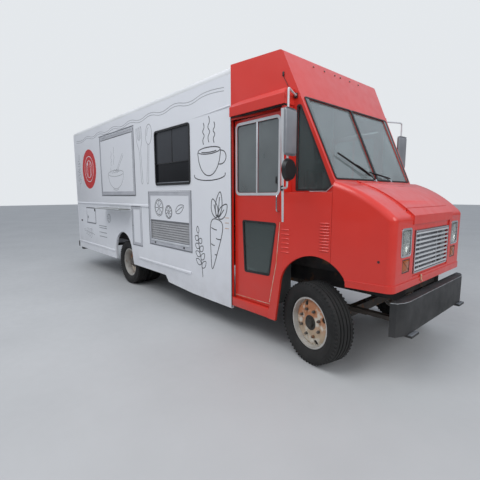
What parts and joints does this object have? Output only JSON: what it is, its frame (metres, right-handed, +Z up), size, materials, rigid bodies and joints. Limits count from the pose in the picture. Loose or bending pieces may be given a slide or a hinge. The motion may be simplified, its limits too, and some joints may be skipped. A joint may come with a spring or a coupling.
{
  "type": "food truck",
  "caption": "Walk-in van food truck: red cab, white kitchen box with serving hatch, shelf and generator door, dual rear wheels, sliding cab doors and a lifting hood.",
  "frame": {"origin": "the middle of the truck's bounding box, on the ground", "axes": "+X forward, +Y to the truck's left, +Z up"},
  "size_m": [7.83, 2.5946, 3.17],
  "materials": {
    "white_paint": "gloss",
    "red_paint": "gloss",
    "bare_aluminium": "satin",
    "dark_frame": "satin",
    "bumper_grey": "satin",
    "rim_white": "satin",
    "tyre": "matte",
    "glass": "clear",
    "tinted_glass": "tinted",
    "grille_metal": "polished",
    "lamp": "clear",
    "cast_iron": "rough",
    "dark_plastic": "matte",
    "seat_cover": "matte",
    "floor_plate": "treaded",
    "steel": "brushed"
  },
  "bodies": {
    "truck": {"chassis_frame": "dark_frame", "body_floor": "floor_plate", "side_wall_right": "white_paint", "side_wall_left": "white_paint", "side_window": "tinted_glass", "rear_wall": "white_paint", "box_roof": "white_paint", "cab_shell": "red_paint", "cab_glass": "glass", "cab_sides": "red_paint", "nose": "red_paint", "firewall": "dark_frame", "grille": "grille_metal", "front_lamps": "lamp", "radiator": "cast_iron", "engine": "cast_iron", "front_bumper": "bumper_grey", "rear_bumper": "bumper_grey", "front_axle": "cast_iron", "rear_axle": "cast_iron", "leaf_springs": "cast_iron", "propeller_shaft": "steel", "fuel_tank": "bare_aluminium", "exhaust": "steel", "mirrors": "dark_plastic", "cab_floor": "floor_plate", "dashboard": "dark_plastic", "steering_wheel": "dark_plastic", "driver_seat": "seat_cover"},
    "cab_door_right": {"cab_door_right": "red_paint", "door_glass_right": "glass"},
    "cab_door_left": {"cab_door_left": "red_paint", "door_glass_left": "glass"},
    "rear_door_right": {"rear_door_right": "white_paint"},
    "rear_door_left": {"rear_door_left": "white_paint"},
    "serving_hatch": {"serving_hatch": "white_paint"},
    "serving_shelf": {"serving_shelf": "bare_aluminium"},
    "generator_door": {"generator_door": "white_paint"},
    "locker_door": {"locker_door": "white_paint"},
    "power_port_door": {"power_port_door": "white_paint"},
    "hood": {"hood": "red_paint"},
    "knuckle_right": {"knuckle_right": "cast_iron"},
    "knuckle_left": {"knuckle_left": "cast_iron"},
    "front_wheel_right": {"front_rim_right": "rim_white", "front_tyre_right": "tyre"},
    "front_wheel_left": {"front_rim_left": "rim_white", "front_tyre_left": "tyre"},
    "rear_wheels_right": {"rear_rims_right": "rim_white", "rear_tyres_right": "tyre"},
    "rear_wheels_left": {"rear_rims_left": "rim_white", "rear_tyres_left": "tyre"}
  },
  "joints": [
    {"name": "cab_door_right_slide", "type": "slide", "parent": "truck", "child": "cab_door_right", "axis": [-1, 0, 0], "range_m": [0, 0.68]},
    {"name": "cab_door_left_slide", "type": "slide", "parent": "truck", "child": "cab_door_left", "axis": [-1, 0, 0], "range_m": [0, 0.68]},
    {"name": "rear_door_right_swing", "type": "hinge", "parent": "truck", "child": "rear_door_right", "pos_m": [-3.807, -0.76, 1.76], "axis": [0, 0, 1], "range_deg": [0, 165]},
    {"name": "rear_door_left_swing", "type": "hinge", "parent": "truck", "child": "rear_door_left", "pos_m": [-3.807, 0.76, 1.76], "axis": [0, 0, -1], "range_deg": [0, 165]},
    {"name": "serving_hatch_lift", "type": "hinge", "parent": "truck", "child": "serving_hatch", "pos_m": [-1.388, -1.054, 2.79], "axis": [-1, 0, 0], "range_deg": [0, 90]},
    {"name": "serving_shelf_fold", "type": "hinge", "parent": "truck", "child": "serving_shelf", "pos_m": [-1.388, -1.076, 1.418], "axis": [1, 0, 0], "range_deg": [0, 90]},
    {"name": "generator_door_lift", "type": "hinge", "parent": "truck", "child": "generator_door", "pos_m": [0.47, -1.054, 1.723], "axis": [-1, 0, 0], "range_deg": [0, 90]},
    {"name": "locker_door_swing", "type": "hinge", "parent": "truck", "child": "locker_door", "pos_m": [-0.43, -1.054, 1.14], "axis": [0, 0, 1], "range_deg": [0, 110]},
    {"name": "power_port_door_swing", "type": "hinge", "parent": "truck", "child": "power_port_door", "pos_m": [-3.185, -1.054, 1.225], "axis": [0, 0, -1], "range_deg": [0, 110]},
    {"name": "hood_lift", "type": "hinge", "parent": "truck", "child": "hood", "pos_m": [3.278, 0, 1.812], "axis": [0, -1, 0], "range_deg": [0, 50]},
    {"name": "steer_right", "type": "hinge", "parent": "truck", "child": "knuckle_right", "pos_m": [3.085, -0.795, 0.40842], "axis": [0, 0, 1], "range_deg": [-19, 45]},
    {"name": "steer_left", "type": "hinge", "parent": "truck", "child": "knuckle_left", "pos_m": [3.085, 0.795, 0.40842], "axis": [0, 0, 1], "range_deg": [-19, 45]},
    {"name": "front_wheel_right_spin", "type": "hinge", "parent": "knuckle_right", "child": "front_wheel_right", "pos_m": [3.05823, -0.91095, 0.40842], "axis": [0.225, 0.9744, 0], "continuous": true},
    {"name": "front_wheel_left_spin", "type": "hinge", "parent": "knuckle_left", "child": "front_wheel_left", "pos_m": [3.11177, 0.91095, 0.40842], "axis": [0.225, 0.9744, 0], "continuous": true},
    {"name": "rear_wheels_right_spin", "type": "hinge", "parent": "truck", "child": "rear_wheels_right", "pos_m": [-1.16, -0.7425, 0.40842], "axis": [0, 1, 0], "continuous": true},
    {"name": "rear_wheels_left_spin", "type": "hinge", "parent": "truck", "child": "rear_wheels_left", "pos_m": [-1.16, 0.7425, 0.40842], "axis": [0, 1, 0], "continuous": true}
  ],
  "couplings": [
    {"joint": "steer_left", "follows": "steer_right", "ratio": 1}
  ]
}
